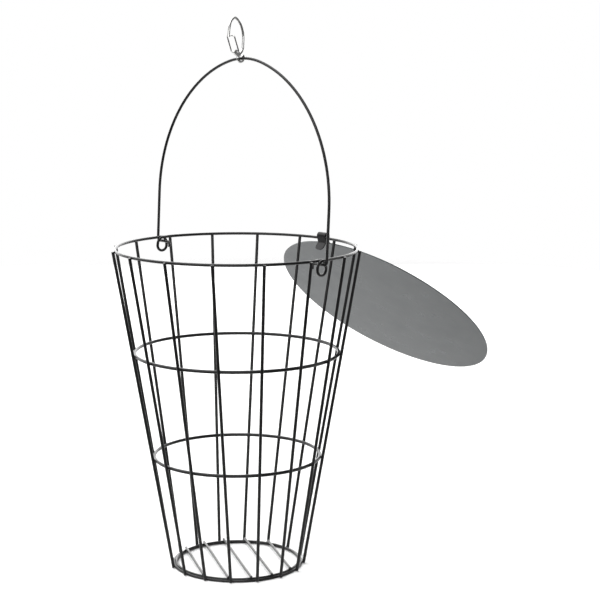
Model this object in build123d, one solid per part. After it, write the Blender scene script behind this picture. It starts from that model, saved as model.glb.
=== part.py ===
from build123d import *
import os
from math import asin, atan2, cos, degrees, hypot, pi, radians, sin, sqrt

os.makedirs("parts", exist_ok=True)

# Frame: millimetres, origin on the floor under the middle of the base, +Z up, front toward -Y.

# Wire sizes
ring_wire = 2.3
hoop_wire = 2.7
base_wire = 2.1
stave_wire = 2.5
bar_wire = 2.0
bail_wire = 2.3
snap_wire = 2.2
gate_wire = 1.2

# Basket
rim_radius = 95.5
rim_height = 257.0
base_radius = 51.4
upper_hoop_height = 174.1
lower_hoop_height = 89.9
stave_count = 16
stave_start = -10.48
stave_twist = 4.57
stave_lift = 0.7
stave_over = 0.2
weld_sink = 0.12
floor_ring_step = 1.85
bar_count = 5
bar_inset = 16.4
bar_shift = -0.6
bar_heading = -77.5

# Bail and its eyes
bail_heading = -49.0
bail_lean = 3.0
bail_set = 1.3
bail_leg_out = 5.3
bail_tip_in = 10.0
bail_leg_top = 38.0
bail_crown_radius = 70.0
bail_haunch = 74.78
bail_bend_radius = 2.6
bail_tip_len = 4.2
bail_clear = 0.85
eye_width = 10.2
eye_drop = 11.2
eye_gap = 0.5
eye_reach = 9.0

# Lid and its hook
lid_heading = 42.4
lid_droop = 39.5
lid_overhang = 2.1
lid_edge_gap = 4.0
lid_t = 0.8
lid_clear = 0.3
hook_t = 0.8
hook_w = 9.0
hook_offset = -1.6
hook_clear = 0.45
hook_crown_radius = 2.6
hook_rise = 1.75
hook_pinch = 3.2
hook_lip_len = 7.2
hook_leg_angle = 324.5
hook_lip_angle = 270.0
hook_riser_angle = 125.0
hook_bend_radius = 1.4
hook_flange = 15.5
hook_corner = 3.4

# Snap hook on the bail, in its own plane: across from the bail, up from the bail
snap_eye_radius = 3.0
snap_clear = 0.3
snap_slide = -4.7
snap_eye_open = 125.0
snap_eye_turn = 290.0
snap_outline = [(-12.3, 16.5), (-11.5, 24.0), (-9.7, 28.9), (-6.1, 31.3), (-1.5, 28.2),
                (1.6, 22.6), (2.7, 16.4), (2.4, 10.5)]
lug_t = 2.0
lug_radius = 1.9
lug_root = (-2.6, 3.2)
gate_pivot = (-5.6, 5.0)
gate_half_w = 4.3
gate_bend_radius = 1.2
gate_top_height = 17.6
gate_clear = 0.3
gate_hole_clear = 0.25
gate_end_gap = 0.1


def polar(radius, heading, z):
    """Point at a radius and a heading round the basket's middle."""
    return Vector(radius * cos(radians(heading)), radius * sin(radians(heading)), z)


def save(shape, name):
    """Write one piece as a STEP file of its own."""
    shape.label = name
    export_step(shape, "parts/" + name + ".step")


def bent_rod(edges, diameter):
    """Round wire along a chain of edges that meet without a kink, joined end to end."""
    rod = Part()
    for edge in edges:
        section = Plane(origin=edge @ 0, z_dir=edge % 0) * Circle(diameter / 2)
        rod += sweep(section, path=edge)
    return rod


def straight_rod(start, end, diameter):
    """Round wire with square ends between two points."""
    run = end - start
    ends = (Align.CENTER, Align.CENTER, Align.MIN)
    return Plane(origin=start, z_dir=run) * Cylinder(diameter / 2, run.length, align=ends)


def arc_into(start, end, end_dir):
    """Arc that arrives at a point in a given direction."""
    return TangentArc(end, start, tangent=-end_dir)


def double_arc(start, start_dir, end, end_dir):
    """Two arcs that join two points with a given direction at each."""
    gap = end - start
    both = start_dir + end_dir
    spread = 2 * (1 - start_dir.dot(end_dir))
    across = gap.dot(both)
    reach = (sqrt(across ** 2 + spread * gap.dot(gap)) - across) / spread
    middle = (start + end + (start_dir - end_dir) * reach) * 0.5
    return [TangentArc(start, middle, tangent=start_dir), arc_into(middle, end, end_dir)]


# Stave line: one wire leans in and twists a little from rim to base, outside every ring
up = Vector(0, 0, 1)
base_height = base_wire / 2
taper = atan2(rim_radius - base_radius, rim_height - base_height)
stave_offset = ((ring_wire + stave_wire) / 2 - weld_sink) / cos(taper)
hoop_offset = ((hoop_wire + stave_wire) / 2 - weld_sink) / cos(taper)
foot_offset = ((base_wire + stave_wire) / 2 - weld_sink) / cos(taper)
stave_top_z = rim_height + stave_over
stave_foot_z = stave_lift + stave_wire / 2 * sin(taper)


def stave_point(number, z):
    """Point on the middle line of a stave at a height."""
    heading = stave_start + 360 / stave_count * number
    top = polar(rim_radius + stave_offset, heading, rim_height)
    foot = polar(base_radius + foot_offset, heading + stave_twist, base_height)
    return top + (foot - top) * ((rim_height - z) / (rim_height - base_height))


def hoop_radius(z):
    """Radius of a ring that sits welded inside the staves at a height."""
    point = stave_point(0, z)
    return hypot(point.X, point.Y) - hoop_offset


for number in range(stave_count):
    stave = straight_rod(stave_point(number, stave_foot_z), stave_point(number, stave_top_z), stave_wire)
    save(stave, f"stave_{number + 1:02d}")

# Plain rings
floor_ring_rise = sqrt(base_wire ** 2 - floor_ring_step ** 2)
floor_ring_radius = base_radius - floor_ring_step
floor_ring_z = base_height + floor_ring_rise
rings = {
    "upper_hoop": (hoop_radius(upper_hoop_height), upper_hoop_height, hoop_wire),
    "lower_hoop": (hoop_radius(lower_hoop_height), lower_hoop_height, hoop_wire),
    "base_ring": (base_radius, base_height, base_wire),
    "floor_ring": (floor_ring_radius, floor_ring_z, base_wire),
}
for name, (radius, z, wire) in rings.items():
    save(Pos(0, 0, z) * Torus(radius, wire / 2), name)

# Floor bars lie across the floor ring and end over the base ring
bar_z = floor_ring_z + (base_wire + bar_wire) / 2 - weld_sink
bar_along = polar(1, bar_heading, 0)
bar_across = polar(1, bar_heading + 90, 0)
bar_spacing = 2 * (base_radius - bar_inset) / (bar_count - 1)
for number in range(bar_count):
    offset = bar_shift + bar_spacing * (number - (bar_count - 1) / 2)
    half = sqrt(base_radius ** 2 - (abs(offset) + bar_wire / 2) ** 2)
    middle = bar_across * offset + up * bar_z
    bar = straight_rod(middle - bar_along * half, middle + bar_along * half, bar_wire)
    save(bar, f"floor_bar_{number + 1}")

# Rim ring: one wire that coils once into an eye on each side and steps out by a pitch there
eye_pitch = ring_wire + eye_gap
eye_turn = eye_reach / rim_radius * 180 / pi


def eye_half(start, end, ahead):
    """Half a turn of an eye: over, down or up a straight side, and back under."""
    side = (end - start).normalized()
    bend = eye_width / 2
    corner = start + (ahead + side) * bend
    lower = end + (ahead - side) * bend
    return [TangentArc(start, corner, tangent=ahead), Line(corner, lower), arc_into(lower, end, -ahead)]


def rim_half(heading, next_heading):
    """An eye at a heading and the half of the rim that follows it round to the next eye."""
    ahead = polar(1, heading + 90, 0)
    inner = polar(rim_radius - eye_pitch / 2, heading, rim_height)
    outer = polar(rim_radius + eye_pitch / 2, heading, rim_height)
    bottom = polar(rim_radius, heading, rim_height - eye_drop)
    first = heading + eye_turn
    last = next_heading - eye_turn
    leave = polar(rim_radius, first, rim_height)
    arrive = polar(rim_radius, last, rim_height)
    leave_dir = polar(1, first + 90, 0)
    arrive_dir = polar(1, last + 90, 0)
    next_inner = polar(rim_radius - eye_pitch / 2, next_heading, rim_height)
    next_ahead = polar(1, next_heading + 90, 0)
    edges = eye_half(inner, bottom, ahead)
    edges += eye_half(bottom, outer, -ahead)
    edges += double_arc(outer, ahead, leave, leave_dir)
    edges += [TangentArc(leave, arrive, tangent=leave_dir)]
    edges += double_arc(arrive, arrive_dir, next_inner, next_ahead)
    return bent_rod(edges, ring_wire)


eye_shift = degrees(asin(bail_set / rim_radius))
eye_a = bail_heading + eye_shift
eye_b = bail_heading + 180 - eye_shift
save(rim_half(eye_a, eye_b) + rim_half(eye_b, eye_a + 360), "rim_ring")

# Bail: tips turned down inside the eyes, bars through them, legs outside and an arch of three arcs
bail_bar_drop = (ring_wire + bail_wire) / 2 + bail_clear
bail_out = polar(1, bail_heading, 0)
bail_side = polar(1, bail_heading + 90, 0)
bail_up = up * cos(radians(bail_lean)) + bail_side * sin(radians(bail_lean))
bail_pivot = up * (rim_height - bail_bar_drop) + bail_side * bail_set
bail_half_span = rim_radius + bail_leg_out
bail_tip_radius = rim_radius - bail_tip_in
haunch = radians(bail_haunch)
arch_step = (bail_half_span - bail_crown_radius) / (1 - cos(haunch))
arch_side_radius = bail_crown_radius + arch_step
leg_top = bail_leg_top + bail_bar_drop
crown_top = leg_top + bail_crown_radius + arch_step * sin(haunch)
haunch_x = bail_crown_radius * cos(haunch)
haunch_z = leg_top + arch_side_radius * sin(haunch)


def on_bail(across, above):
    """Point in the bail's plane, measured from the middle of its pivot line."""
    return bail_pivot + bail_out * across + bail_up * above


def bail_corner(side, across, above, start_dir, end_dir):
    """Quarter bend of the bail wire round a corner of its square path."""
    corner = on_bail(side * across, above)
    start = corner - start_dir * bail_bend_radius
    return TangentArc(start, corner + end_dir * bail_bend_radius, tangent=start_dir)


tip_a = on_bail(bail_tip_radius, -bail_tip_len)
bend_a = bail_corner(1, bail_tip_radius, 0, bail_up, bail_out)
bend_b = bail_corner(1, bail_half_span, 0, bail_out, bail_up)
leg_a = on_bail(bail_half_span, leg_top)
leg_b = on_bail(-bail_half_span, leg_top)
haunch_a = on_bail(haunch_x, haunch_z)
haunch_b = on_bail(-haunch_x, haunch_z)
bend_c = bail_corner(-1, bail_half_span, 0, -bail_up, bail_out)
bend_d = bail_corner(-1, bail_tip_radius, 0, bail_out, -bail_up)
bail_edges = [
    Line(tip_a, bend_a @ 0),
    bend_a,
    Line(bend_a @ 1, bend_b @ 0),
    bend_b,
    Line(bend_b @ 1, leg_a),
    TangentArc(leg_a, haunch_a, tangent=bail_up),
    ThreePointArc(haunch_a, on_bail(0, crown_top), haunch_b),
    arc_into(haunch_b, leg_b, -bail_up),
    Line(leg_b, bend_c @ 0),
    bend_c,
    Line(bend_c @ 1, bend_d @ 0),
    bend_d,
    Line(bend_d @ 1, on_bail(-bail_tip_radius, -bail_tip_len)),
]
save(bent_rod(bail_edges, bail_wire), "bail_handle")

# Lid, drawn in a plane along the rim wire: across is out along the lid, up is its inner face
lid_out = polar(cos(radians(lid_droop)), lid_heading, -sin(radians(lid_droop)))
lid_up = polar(sin(radians(lid_droop)), lid_heading, cos(radians(lid_droop)))
hinge = polar(rim_radius, lid_heading, rim_height)
lid_plane = Plane(origin=hinge, x_dir=lid_out, z_dir=lid_up)
lid_face = -(ring_wire / 2 + lid_clear)
lid_radius = rim_radius + lid_overhang
lid_reach = lid_radius + lid_edge_gap
lid = Pos(lid_reach, 0, lid_face - lid_t / 2) * Cylinder(lid_radius, lid_t)
save(lid_plane * lid, "lid_disc")

# Lid hook: a round-ended strip from the lid's inner face, over the rim wire, in under it and out in a lip
leg_dir = Vector(cos(radians(hook_leg_angle)), 0, sin(radians(hook_leg_angle)))
leg_normal = Vector(-leg_dir.Z, 0, leg_dir.X)
lip_dir = Vector(cos(radians(hook_lip_angle)), 0, sin(radians(hook_lip_angle)))
riser_dir = Vector(cos(radians(hook_riser_angle)), 0, sin(radians(hook_riser_angle)))
leg_distance = ring_wire / 2 + hook_clear + hook_t / 2
crown = leg_normal * (hook_crown_radius - leg_distance) - leg_dir * hook_rise
leg_start = crown - leg_normal * hook_crown_radius
riser_end = crown + Vector(riser_dir.Z, 0, -riser_dir.X) * hook_crown_radius
flange_z = lid_face + hook_t / 2
corner = riser_end - riser_dir * ((riser_end.Z - flange_z) / riser_dir.Z)
foot = FilletPolyline(Vector(hook_flange, 0, flange_z), corner, riser_end, radius=hook_bend_radius)
bend = TangentArc(riser_end, leg_start, tangent=riser_dir)
pinch = leg_dir * hook_pinch - leg_normal * leg_distance
leg = FilletPolyline(leg_start, pinch, pinch + lip_dir * hook_lip_len, radius=hook_bend_radius)
hook_path = Wire(foot.edges() + [bend] + leg.edges())
strip = Plane(origin=hook_path @ 0, x_dir=(0, 1, 0), z_dir=hook_path % 0) * Rectangle(hook_w, hook_t)
hook = sweep(strip, path=hook_path)
hook_end = hook.faces().sort_by_distance(hook_path @ 1)[0]
hook_start = hook.faces().sort_by_distance(hook_path @ 0)[0]
end_corners = hook_end.edges().sort_by(SortBy.LENGTH)[:2] + hook_start.edges().sort_by(SortBy.LENGTH)[:2]
hook = fillet(end_corners, hook_corner)
save(lid_plane * (Pos(0, hook_offset, 0) * hook), "lid_hinge_hook")

# Snap hook body: open hook, waist, an eye round the bail and a flat lug for the gate
snap_drop = bail_crown_radius - sqrt(bail_crown_radius ** 2 - snap_slide ** 2)
snap_point = on_bail(snap_slide, crown_top - snap_drop)
snap_plane = Plane(origin=snap_point, x_dir=bail_side, z_dir=bail_out)
snap_eye_z = snap_eye_radius - snap_wire / 2 - snap_clear - bail_wire / 2


def on_eye(position):
    """Point on the snap hook's eye, in the hook's own plane."""
    angle = radians(position)
    return Vector(snap_eye_radius * cos(angle), snap_eye_z + snap_eye_radius * sin(angle))


eye_dir = (-sin(radians(snap_eye_open)), cos(radians(snap_eye_open)))
snap_curve = Spline(snap_outline + [on_eye(snap_eye_open)], tangents=[(0, 1), eye_dir])
eye_middle = on_eye(snap_eye_open + snap_eye_turn / 2)
snap_eye = ThreePointArc(on_eye(snap_eye_open), eye_middle, on_eye(snap_eye_open + snap_eye_turn))
snap_body = bent_rod([snap_curve, snap_eye], snap_wire)
pivot_hole = gate_wire / 2 + gate_hole_clear
lug_ends = Sketch() + Pos(*lug_root) * Circle(lug_radius) + Pos(*gate_pivot) * Circle(lug_radius)
lug = extrude(make_hull(lug_ends.edges()), lug_t / 2, both=True)
hole = Pos(*gate_pivot) * Cylinder(pivot_hole, 4 * lug_t)
save(snap_plane * (snap_body + lug - hole), "snap_hook_body")

# Snap hook gate: a wire loop turning in the lug, its top bar just inside the hook's nose
nose_inner = snap_outline[0][0] + snap_wire / 2
gate_bar_x = nose_inner + gate_clear + gate_wire / 2
gate_x = gate_bar_x - gate_pivot[0]
gate_z = gate_top_height - gate_pivot[1]
gate_len = hypot(gate_x, gate_z)
gate_plane = Plane(origin=(*gate_pivot, 0), x_dir=(gate_x, gate_z, 0), z_dir=(gate_z, -gate_x, 0))
gate_corners = [
    (0, gate_end_gap),
    (0, gate_half_w),
    (gate_len, gate_half_w),
    (gate_len, -gate_half_w),
    (0, -gate_half_w),
    (0, -gate_end_gap),
]
gate_path = FilletPolyline(*gate_corners, radius=gate_bend_radius)
gate = bent_rod(gate_path.edges(), gate_wire)
save(snap_plane * (gate_plane * gate), "snap_hook_gate")
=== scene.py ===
import math

import bpy
import numpy as np
from mathutils import Matrix


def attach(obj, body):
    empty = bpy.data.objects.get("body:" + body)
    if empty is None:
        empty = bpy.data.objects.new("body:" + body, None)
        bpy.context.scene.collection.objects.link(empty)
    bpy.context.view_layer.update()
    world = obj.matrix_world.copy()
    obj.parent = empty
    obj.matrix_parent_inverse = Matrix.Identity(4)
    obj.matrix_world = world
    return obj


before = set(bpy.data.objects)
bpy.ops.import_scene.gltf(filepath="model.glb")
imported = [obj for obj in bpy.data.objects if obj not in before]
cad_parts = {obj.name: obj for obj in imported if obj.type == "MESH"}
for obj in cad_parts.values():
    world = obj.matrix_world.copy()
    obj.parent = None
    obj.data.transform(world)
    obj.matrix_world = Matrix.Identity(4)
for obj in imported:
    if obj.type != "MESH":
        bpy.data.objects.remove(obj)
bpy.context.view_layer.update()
scene = bpy.context.scene

# Sizes of the basket, in metres
MM = 0.001
RIM_R = 95.5 * MM
RIM_Z = 257.0 * MM
BASE_R = 51.4 * MM
BASE_Z = 1.05 * MM
RING_WIRE = 2.3 * MM
BASE_WIRE = 2.1 * MM
STAVE_WIRE = 2.5 * MM
STAVE_COUNT = 16
STAVE_START = math.radians(-10.48)
STAVE_TWIST = math.radians(4.57)
UPPER_HOOP_Z = 174.1 * MM
LOWER_HOOP_Z = 89.9 * MM
WELD_SINK = 0.12 * MM
FLOOR_RING_STEP = 1.85 * MM
BAR_COUNT = 5
BAR_INSET = 16.4 * MM
BAR_SHIFT = -0.6 * MM
BAR_HEADING = math.radians(-77.5)


class Signal:
    """A shader socket that takes arithmetic signs and can feed any other node."""

    def __init__(self, tree, socket=None):
        self.tree = tree
        self.socket = socket

    def make(self, kind, inputs=None, output=0, **settings):
        """Adds a node of any kind, its settings first, then its input values or links; gives one output."""
        node = self.tree.nodes.new(kind)
        for key, value in settings.items():
            setattr(node, key, value)
        for key, value in (inputs or {}).items():
            if isinstance(value, Signal):
                self.tree.links.new(value.socket, node.inputs[key])
            else:
                node.inputs[key].default_value = value
        return Signal(self.tree, node.outputs[output])

    def feed(self, node, key):
        """Links this output into an input of a node that is already there."""
        self.tree.links.new(self.socket, node.inputs[key])

    def reckon(self, kind, first, second):
        """Adds a Math node on two values."""
        return self.make("ShaderNodeMath", {0: first, 1: second}, operation=kind)

    def __add__(self, other):
        return self.reckon("ADD", self, other)

    def __radd__(self, other):
        return self.reckon("ADD", other, self)

    def __mul__(self, other):
        return self.reckon("MULTIPLY", self, other)

    def __rmul__(self, other):
        return self.reckon("MULTIPLY", other, self)

    def ramp(self, low, high):
        """Nought at the low value, one at the high value and straight between, held at both ends."""
        return self.make("ShaderNodeMapRange", {0: self, 1: low, 2: high})

    def noise(self, scale, detail=3.0, rough=0.5):
        """Cloudy noise over these coordinates, from nought to one."""
        inputs = {"Vector": self, "Scale": scale, "Detail": detail, "Roughness": rough}
        return self.make("ShaderNodeTexNoise", inputs)

    def between(self, first, second):
        """Colour between two fixed colours."""
        return self.make("ShaderNodeMix", {0: self, 6: (*first, 1), 7: (*second, 1)}, 2, data_type="RGBA")

    def bump(self, strength, depth):
        """Surface normal of this value taken as a height."""
        return self.make("ShaderNodeBump", {"Strength": strength, "Distance": depth, "Height": self})


def new_finish(name, **fixed):
    """A material with one principled shader, fixed values set on the shader itself, and its coordinates."""
    finish = bpy.data.materials.new(name)
    finish.use_nodes = True
    shader = finish.node_tree.nodes["Principled BSDF"]
    for key, value in fixed.items():
        shader.inputs[key.replace("_", " ")].default_value = value
    return finish, shader, Signal(finish.node_tree).make("ShaderNodeTexCoord", output="Object")


# Finishes: how far clouds and specks change the coat's roughness, and the depth of its orange peel
CLOUD_SHARE = 0.14
SPECK_SHARE = 0.08
PEEL_DEPTH = 0.12 * MM


def powder_coat(name, dark, light, rough, peel, **fixed):
    """Black powder coat: fine orange peel, cloudy gloss and a little dust in the colour."""
    finish, shader, place = new_finish(name, **fixed)
    even_share = (CLOUD_SHARE + SPECK_SHARE) / 2
    cloud = place.noise(scale=60.0, detail=4.0)
    speck = place.noise(scale=2600.0, detail=2.0)
    peel_height = place.noise(scale=900.0, detail=2.0, rough=0.45)
    tone = cloud.ramp(0.35, 0.7) * 0.6 + speck.ramp(0.45, 0.75) * 0.4
    tone.between(dark, light).feed(shader, "Base Color")
    (cloud * CLOUD_SHARE + speck * SPECK_SHARE + (rough - even_share)).feed(shader, "Roughness")
    peel_height.bump(peel, PEEL_DEPTH).feed(shader, "Normal")
    return finish


wire_coat = powder_coat("black_powder_coat", (0.004, 0.004, 0.0042), (0.009, 0.009, 0.0093), 0.30, 0.30,
                        Specular_IOR_Level=0.28)
weld_coat = powder_coat("weld_coat", (0.007, 0.007, 0.0075), (0.018, 0.018, 0.019), 0.38, 0.60,
                        Specular_IOR_Level=0.5)
hook_coat = powder_coat("lid_hook_coat", (0.006, 0.006, 0.0065), (0.012, 0.012, 0.013), 0.34, 0.25,
                        Specular_IOR_Level=0.15)
lid_coat = powder_coat("lid_powder_coat", (0.0128, 0.0150, 0.0158), (0.0165, 0.0188, 0.0198), 0.30, 0.10,
                       Specular_IOR_Level=0.36, Specular_Tint=(0.86, 0.98, 1.0, 1))

# Bright plating of the snap hook: smears in tone and gloss, and fine scratches
chrome, chrome_shader, chrome_place = new_finish("polished_chrome", Metallic=1.0,
                                                 Specular_Tint=(0.6, 0.6, 0.6, 1))
smear = chrome_place.noise(scale=400.0, detail=4.0)
scratch = chrome_place.noise(scale=3500.0, detail=2.0)
smear.ramp(0.4, 0.6).between((0.36, 0.36, 0.36), (0.52, 0.52, 0.51)).feed(chrome_shader, "Base Color")
(smear * 0.14 + 0.06).feed(chrome_shader, "Roughness")
scratch.bump(0.12, 0.05 * MM).feed(chrome_shader, "Normal")

finishes = {"lid_disc": lid_coat, "lid_hinge_hook": hook_coat,
            "snap_hook_body": chrome, "snap_hook_gate": chrome}
for name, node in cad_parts.items():
    node.data.materials.clear()
    node.data.materials.append(finishes.get(name, wire_coat))

# Weld beads where the wires cross: faces round and up each, and half its length, width and height
BEAD_AROUND = 20
BEAD_ROWS = 7
BEAD_SWELL = 0.07
STAVE_BEAD = np.array([1.25, 1.2, 0.42]) * MM
FLOOR_BEAD = np.array([1.2, 1.15, 0.4]) * MM
RIM_WELD_DROP = 0.4 * MM
BASE_WELD_RISE = 0.3 * MM


def bead_points(centres, axes, sizes, phases):
    """Flattened balls, all at once: cosine of height times cosine and sine of turn along two axes and sine of
    height along the third, swollen by a slow threefold ripple that starts elsewhere on each ball."""
    height = np.linspace(-np.pi / 2, np.pi / 2, BEAD_ROWS + 2)[1:-1, None]
    turn = np.arange(BEAD_AROUND) * 2 * np.pi / BEAD_AROUND
    swell = 1 + BEAD_SWELL * np.cos(height) * np.sin(3 * turn + phases[:, None, None])
    level = np.sin(height) + 0 * swell
    belt = np.stack([np.cos(height) * np.cos(turn) * swell, np.cos(height) * np.sin(turn) * swell, level], -1)
    poles = np.array([[0, 0, -1.0], [0, 0, 1.0]]) + np.zeros((len(phases), 1, 1))
    points = np.concatenate([poles, belt.reshape(len(phases), -1, 3)], 1) * sizes
    return centres[:, None] + points @ axes


def bead_faces(count):
    """Corners of every ball: a fan of triangles at each pole and a grid of four-sided faces between."""
    here = np.arange(BEAD_AROUND)
    following = (here + 1) % BEAD_AROUND
    row = 2 + BEAD_AROUND * np.arange(BEAD_ROWS - 1)[:, None]
    row_over = row + BEAD_AROUND
    belt = np.stack([row + here, row + following, row_over + following, row_over + here], -1)
    top = 2 + BEAD_AROUND * (BEAD_ROWS - 1)
    under_fan = np.stack([0 * here, 2 + following, 2 + here], -1)
    over_fan = np.stack([top + here, top + following, 0 * here + 1], -1)
    shift = (2 + BEAD_ROWS * BEAD_AROUND) * np.arange(count)[:, None, None]
    fans = np.vstack([under_fan, over_fan]) + shift
    return (belt.reshape(-1, 4) + shift).reshape(-1, 4).tolist() + fans.reshape(-1, 3).tolist()


def add_beads(name, centres, axes, sizes, phases):
    """One piece of many beads, finished as coat over weld metal and carried by the basket."""
    mesh = bpy.data.meshes.new(name)
    points = bead_points(centres, axes, sizes, phases)
    mesh.from_pydata(points.reshape(-1, 3).tolist(), [], bead_faces(len(phases)))
    mesh.shade_smooth()
    mesh.materials.append(weld_coat)
    piece = bpy.data.objects.new(name, mesh)
    scene.collection.objects.link(piece)
    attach(piece, "basket")


def stave_lines(z):
    """Middle points of all staves at a height and the way they run: each goes straight from a place on the
    rim's circle to a place on the base's circle, turned on by the twist."""
    lean = math.atan2(RIM_R - BASE_R, RIM_Z - BASE_Z)
    heading = STAVE_START + 2 * np.pi / STAVE_COUNT * np.arange(STAVE_COUNT)
    top_r = RIM_R + ((RING_WIRE + STAVE_WIRE) / 2 - WELD_SINK) / math.cos(lean)
    foot_r = BASE_R + ((BASE_WIRE + STAVE_WIRE) / 2 - WELD_SINK) / math.cos(lean)
    turned = heading + STAVE_TWIST
    top = np.stack([top_r * np.cos(heading), top_r * np.sin(heading), RIM_Z + 0 * heading], -1)
    foot = np.stack([foot_r * np.cos(turned), foot_r * np.sin(turned), BASE_Z + 0 * heading], -1)
    run = (top - foot) / np.linalg.norm(top - foot, axis=1, keepdims=True)
    return top + (foot - top) * (RIM_Z - z) / (RIM_Z - BASE_Z), run


weld_heights = {"rim_welds": RIM_Z - RIM_WELD_DROP, "upper_hoop_welds": UPPER_HOOP_Z,
                "lower_hoop_welds": LOWER_HOOP_Z, "base_welds": BASE_Z + BASE_WELD_RISE}
for name, z in weld_heights.items():
    middle, run = stave_lines(z)
    out = middle * (1, 1, 0)
    out -= run * np.sum(out * run, axis=1, keepdims=True)
    out /= np.linalg.norm(out, axis=1, keepdims=True)
    contact = middle - out * (STAVE_WIRE - WELD_SINK) / 2
    axes = np.stack([np.cross(run, out), run, out], 1)
    add_beads(name, contact, axes, STAVE_BEAD, 2.1 * np.arange(STAVE_COUNT))

floor_ring_r = BASE_R - FLOOR_RING_STEP
bar_weld_z = BASE_Z + math.sqrt(BASE_WIRE ** 2 - FLOOR_RING_STEP ** 2) + (BASE_WIRE - WELD_SINK) / 2
along = np.array([math.cos(BAR_HEADING), math.sin(BAR_HEADING), 0.0])
across = np.array([-along[1], along[0], 0.0])
number, end = np.meshgrid(np.arange(BAR_COUNT), [-1, 1], indexing="ij")
number, end = number.ravel(), end.ravel()
offset = BAR_SHIFT + 2 * (BASE_R - BAR_INSET) / (BAR_COUNT - 1) * (number - (BAR_COUNT - 1) / 2)
half = np.sqrt(floor_ring_r ** 2 - offset ** 2) * end
contact = offset[:, None] * across + half[:, None] * along + (0, 0, bar_weld_z)
axes = np.stack([along, across, (0, 0, 1)]) + np.zeros((len(number), 1, 1))
add_beads("floor_welds", contact, axes, FLOOR_BEAD, number + end)

# Pale floor under and behind the feeder, fading out in front and at its far edge
reach = 4.0
floor_middle = (0.05, 0.75, 0.0)
fade_start = 0.75
fade_end = 1.05
floor_mesh = bpy.data.meshes.new("floor")
corners = [(-reach, -reach, 0), (reach, -reach, 0), (reach, reach, 0), (-reach, reach, 0)]
floor_mesh.from_pydata(corners, [], [(0, 1, 2, 3)])
floor = bpy.data.objects.new("floor", floor_mesh)
scene.collection.objects.link(floor)
floor_paint, floor_shader, floor_place = new_finish("floor_paint", Specular_IOR_Level=0.0, Roughness=0.9)
floor_place.noise(3.0).between((0.88, 0.88, 0.88), (0.91, 0.91, 0.91)).feed(floor_shader, "Base Color")
away = floor_place.make("ShaderNodeVectorMath", {0: floor_place, 1: floor_middle}, "Value",
                        operation="DISTANCE")
painted = Signal(floor_paint.node_tree, floor_shader.outputs[0])
clear = painted.make("ShaderNodeBsdfTransparent")
faded = painted.make("ShaderNodeMixShader", {0: away.ramp(fade_start, fade_end), 1: painted, 2: clear})
faded.feed(floor_paint.node_tree.nodes["Material Output"], "Surface")
floor_mesh.materials.append(floor_paint)

# White for the camera, white behind the feeder in what mirrors it, and dim on the camera's side
world = bpy.data.worlds.new("studio")
scene.world = world
world.use_nodes = True
studio = Signal(world.node_tree)
seen = studio.make("ShaderNodeLightPath", output="Is Camera Ray")
mirrored = studio.make("ShaderNodeLightPath", output="Is Glossy Ray")
through = studio.make("ShaderNodeLightPath", output="Is Transmission Ray")
toward = studio.make("ShaderNodeTexCoord", output="Generated")
behind = studio.make("ShaderNodeSeparateXYZ", {0: toward}, output="Y").ramp(-0.25, 0.25)
dim = studio.make("ShaderNodeBackground", {"Color": (1, 1, 1, 1), "Strength": 0.2})
white = studio.make("ShaderNodeBackground", {"Color": (1, 1, 1, 1), "Strength": 1.0})
either = studio.make("ShaderNodeMixShader", {0: seen + (mirrored + through) * behind, 1: dim, 2: white})
either.feed(world.node_tree.nodes["World Output"], "Surface")


def placed(side, over, ahead, place):
    """Matrix of a thing that looks along its own -Z, from its right, its up, its look and its place."""
    turn = np.column_stack([side, over, -ahead, place])
    return Matrix([*turn.tolist(), [0, 0, 0, 1]])


def softbox(name, place, aim, wide, high, power):
    """A rectangular soft light turned to face a point."""
    light = bpy.data.lights.new(name, "AREA")
    light.shape = "RECTANGLE"
    light.size = wide
    light.size_y = high
    light.energy = power
    lamp = bpy.data.objects.new(name, light)
    ahead = np.subtract(aim, place) / np.linalg.norm(np.subtract(aim, place))
    side = np.cross(ahead, (0, 0, 1.0))
    side /= np.linalg.norm(side)
    lamp.matrix_world = placed(side, np.cross(side, ahead), ahead, place)
    scene.collection.objects.link(lamp)


softbox("back_wall", (0, 1.7, 0.65), (0, 0, 0.65), 3.4, 1.3, 40.0)
softbox("top_light", (-1.9, -0.3, 1.8), (-1.9, -0.299, 0), 4.4, 4.4, 165.0)
softbox("front_light", (-0.4, -2.2, 0.62), (0, 0, 0.5), 3.4, 0.8, 22.0)

# Camera measured from the photo: focal length in pixels of a 600 pixel frame, place and three turns
frame_px = 600.0
focal_px = 1693.0
distance = 1.3238
height = RIM_Z + 0.1764
yaw = math.radians(2.17)
pitch = math.radians(9.34)
roll = math.radians(0.13)
ahead = np.array([math.sin(yaw) * math.cos(pitch), math.cos(yaw) * math.cos(pitch), -math.sin(pitch)])
level_side = np.array([math.cos(yaw), -math.sin(yaw), 0.0])
level_over = np.cross(level_side, ahead)
side = math.cos(roll) * level_side + math.sin(roll) * level_over
over = math.cos(roll) * level_over - math.sin(roll) * level_side
camera_data = bpy.data.cameras.new("camera")
camera_data.sensor_width = 36.0
camera_data.lens = camera_data.sensor_width * focal_px / frame_px
camera = bpy.data.objects.new("camera", camera_data)
camera.matrix_world = placed(side, over, ahead, (0.0, -distance, height))
scene.collection.objects.link(camera)
scene.camera = camera
scene.view_settings.view_transform = "Standard"
